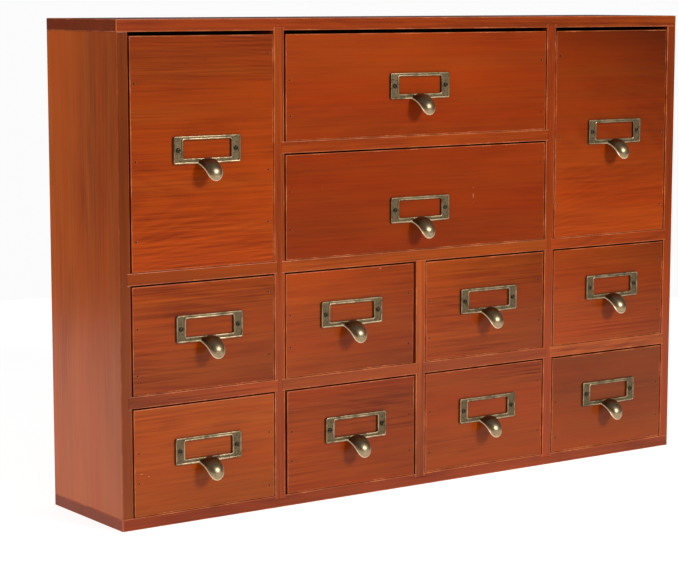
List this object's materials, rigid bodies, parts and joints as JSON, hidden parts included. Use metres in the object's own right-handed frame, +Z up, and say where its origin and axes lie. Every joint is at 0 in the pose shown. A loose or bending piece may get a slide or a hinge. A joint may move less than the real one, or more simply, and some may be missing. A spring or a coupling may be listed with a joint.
{
  "type": "apothecary cabinet",
  "caption": "Shallow table-top wooden cabinet with housed shelves and small, wide and tall sliding drawers, each with an antique brass label-frame pull and finger hook.",
  "frame": {"origin": "middle of the underside of the case, halfway between its front and back edges and its two sides", "axes": "+Z up, -Y out of the drawer fronts towards the user, +X to the right as seen from the front"},
  "size_m": [0.51, 0.114, 0.35],
  "materials": {
    "case_wood": "satin",
    "front_wood": "satin",
    "box_wood": "matte",
    "back_board": "matte",
    "antique_brass": "satin"
  },
  "bodies": {
    "case": {"bottom_board": "case_wood", "top_board": "case_wood", "left_side": "case_wood", "right_side": "case_wood", "left_divider": "case_wood", "centre_divider": "case_wood", "right_divider": "case_wood", "left_lower_shelf": "case_wood", "left_upper_shelf": "case_wood", "centre_lower_left_shelf": "case_wood", "centre_lower_right_shelf": "case_wood", "centre_mid_shelf": "case_wood", "centre_top_shelf": "case_wood", "right_lower_shelf": "case_wood", "right_upper_shelf": "case_wood", "back_panel": "back_board"},
    "tall_left_drawer": {"tall_left_front": "front_wood", "tall_left_box": "box_wood", "tall_left_pull": "antique_brass"},
    "tall_right_drawer": {"tall_right_front": "front_wood", "tall_right_box": "box_wood", "tall_right_pull": "antique_brass"},
    "wide_upper_drawer": {"wide_upper_front": "front_wood", "wide_upper_box": "box_wood", "wide_upper_pull": "antique_brass"},
    "wide_lower_drawer": {"wide_lower_front": "front_wood", "wide_lower_box": "box_wood", "wide_lower_pull": "antique_brass"},
    "upper_left_drawer": {"upper_left_front": "front_wood", "upper_left_box": "box_wood", "upper_left_pull": "antique_brass"},
    "upper_centre_left_drawer": {"upper_centre_left_front": "front_wood", "upper_centre_left_box": "box_wood", "upper_centre_left_pull": "antique_brass"},
    "upper_centre_right_drawer": {"upper_centre_right_front": "front_wood", "upper_centre_right_box": "box_wood", "upper_centre_right_pull": "antique_brass"},
    "upper_right_drawer": {"upper_right_front": "front_wood", "upper_right_box": "box_wood", "upper_right_pull": "antique_brass"},
    "lower_left_drawer": {"lower_left_front": "front_wood", "lower_left_box": "box_wood", "lower_left_pull": "antique_brass"},
    "lower_centre_left_drawer": {"lower_centre_left_front": "front_wood", "lower_centre_left_box": "box_wood", "lower_centre_left_pull": "antique_brass"},
    "lower_centre_right_drawer": {"lower_centre_right_front": "front_wood", "lower_centre_right_box": "box_wood", "lower_centre_right_pull": "antique_brass"},
    "lower_right_drawer": {"lower_right_front": "front_wood", "lower_right_box": "box_wood", "lower_right_pull": "antique_brass"}
  },
  "joints": [
    {"name": "tall_left_slide", "type": "slide", "parent": "case", "child": "tall_left_drawer", "axis": [0, -1, 0], "range_m": [0, 0.075]},
    {"name": "tall_right_slide", "type": "slide", "parent": "case", "child": "tall_right_drawer", "axis": [0, -1, 0], "range_m": [0, 0.075]},
    {"name": "wide_upper_slide", "type": "slide", "parent": "case", "child": "wide_upper_drawer", "axis": [0, -1, 0], "range_m": [0, 0.075]},
    {"name": "wide_lower_slide", "type": "slide", "parent": "case", "child": "wide_lower_drawer", "axis": [0, -1, 0], "range_m": [0, 0.075]},
    {"name": "upper_left_slide", "type": "slide", "parent": "case", "child": "upper_left_drawer", "axis": [0, -1, 0], "range_m": [0, 0.075]},
    {"name": "upper_centre_left_slide", "type": "slide", "parent": "case", "child": "upper_centre_left_drawer", "axis": [0, -1, 0], "range_m": [0, 0.075]},
    {"name": "upper_centre_right_slide", "type": "slide", "parent": "case", "child": "upper_centre_right_drawer", "axis": [0, -1, 0], "range_m": [0, 0.075]},
    {"name": "upper_right_slide", "type": "slide", "parent": "case", "child": "upper_right_drawer", "axis": [0, -1, 0], "range_m": [0, 0.075]},
    {"name": "lower_left_slide", "type": "slide", "parent": "case", "child": "lower_left_drawer", "axis": [0, -1, 0], "range_m": [0, 0.075]},
    {"name": "lower_centre_left_slide", "type": "slide", "parent": "case", "child": "lower_centre_left_drawer", "axis": [0, -1, 0], "range_m": [0, 0.075]},
    {"name": "lower_centre_right_slide", "type": "slide", "parent": "case", "child": "lower_centre_right_drawer", "axis": [0, -1, 0], "range_m": [0, 0.075]},
    {"name": "lower_right_slide", "type": "slide", "parent": "case", "child": "lower_right_drawer", "axis": [0, -1, 0], "range_m": [0, 0.075]}
  ]
}
